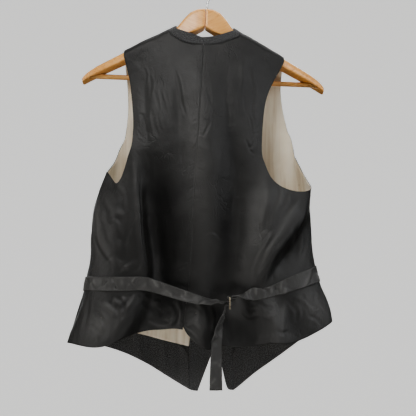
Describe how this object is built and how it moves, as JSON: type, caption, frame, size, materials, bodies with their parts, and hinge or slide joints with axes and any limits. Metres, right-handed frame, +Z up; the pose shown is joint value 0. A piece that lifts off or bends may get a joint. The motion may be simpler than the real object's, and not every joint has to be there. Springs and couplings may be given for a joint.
{
  "type": "suit waistcoat on a wooden hanger",
  "caption": "Tailored waistcoat with a satin back, waist strap and slide buckle, wool fronts and a pale lining, hung on a contoured wooden hanger.",
  "frame": {"origin": "inside top of the hanger's hook, where the rail that holds it passes", "axes": "+Z up, +X to the wearer's right, +Y from the waistcoat's back towards its front"},
  "size_m": [0.4647, 0.1547, 0.7595],
  "materials": {
    "satin": "soft sheen satin",
    "wool": "matte worsted",
    "lining": "smooth twill",
    "button": "polished",
    "buckle": "aged",
    "wood": "varnished",
    "hook": "polished"
  },
  "bodies": {
    "root": {"back_left": "satin", "back_right": "satin", "strap_left": "satin", "strap_right": "satin", "front_left": "wool", "front_right": "wool", "edge_facing_left": "wool", "edge_facing_right": "wool", "hem_facing_left": "wool", "hem_facing_right": "wool", "neck_band_left": "wool", "neck_band_right": "wool", "back_lining_left": "lining", "back_lining_right": "lining", "front_lining_left": "lining", "front_lining_right": "lining", "button_1": "button", "button_2": "button", "button_3": "button", "button_4": "button", "button_5": "button", "buckle": "buckle", "hanger_arm_left": "wood", "hanger_arm_right": "wood", "hanger_bar": "wood", "hanger_hook": "hook"}
  },
  "joints": []
}
